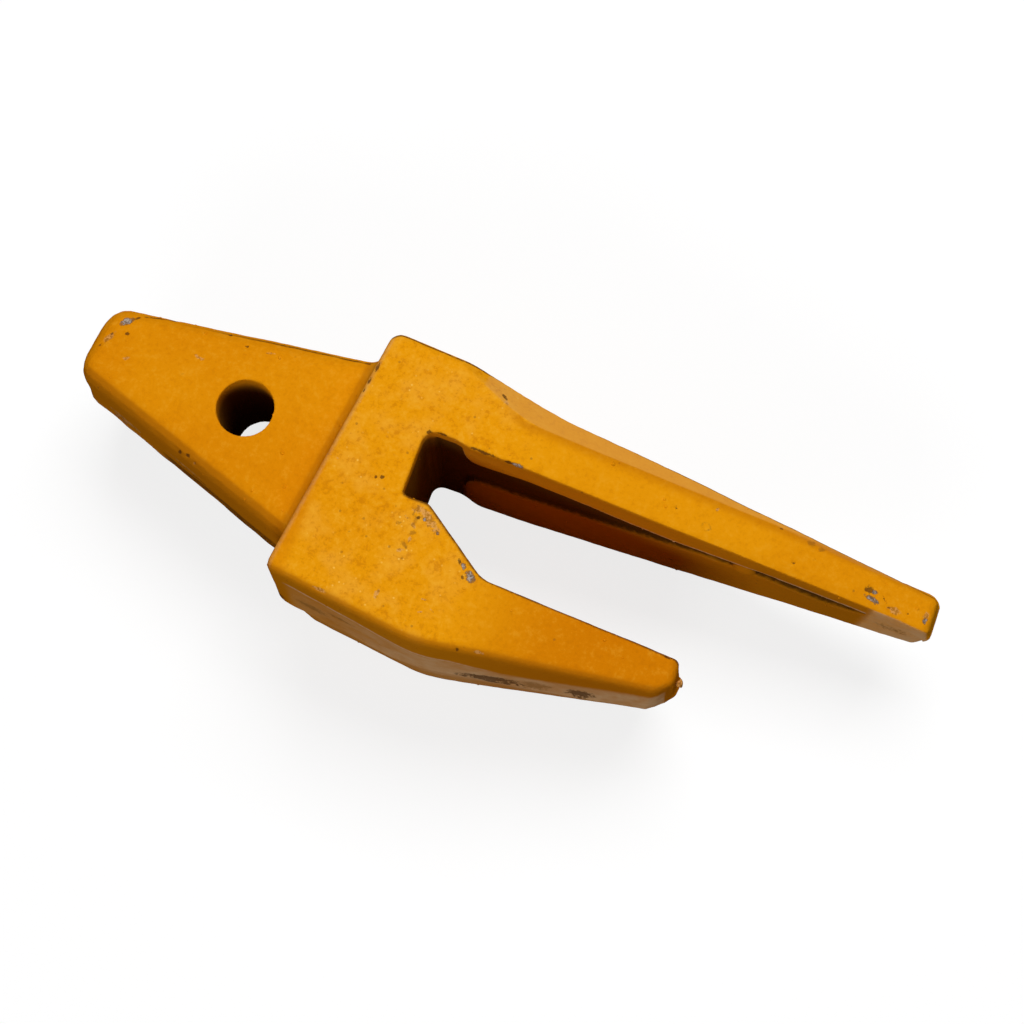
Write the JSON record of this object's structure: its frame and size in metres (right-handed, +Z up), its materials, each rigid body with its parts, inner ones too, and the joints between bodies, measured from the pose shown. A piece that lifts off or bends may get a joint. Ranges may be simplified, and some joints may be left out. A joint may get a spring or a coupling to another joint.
{
  "type": "bucket tooth adapter",
  "caption": "Weld-on two-strap adapter for a bucket tooth: wedge nose with a cross pin hole, body with a shoulder, and a forked lip mouth between a long and a short strap.",
  "frame": {"origin": "on the bench, under the middle of the casting's box", "axes": "+X along the fork's slot, from the nose to the long strap's end; +Y from the short strap to the long strap; +Z up, along the pin hole and the casting's width"},
  "size_m": [0.377, 0.1248, 0.1],
  "materials": {
    "machine_paint": "semi-gloss yellow-orange machine paint over rough cast steel, chipped at the edges"
  },
  "bodies": {
    "root": {"adapter_casting": "machine_paint"}
  },
  "joints": []
}
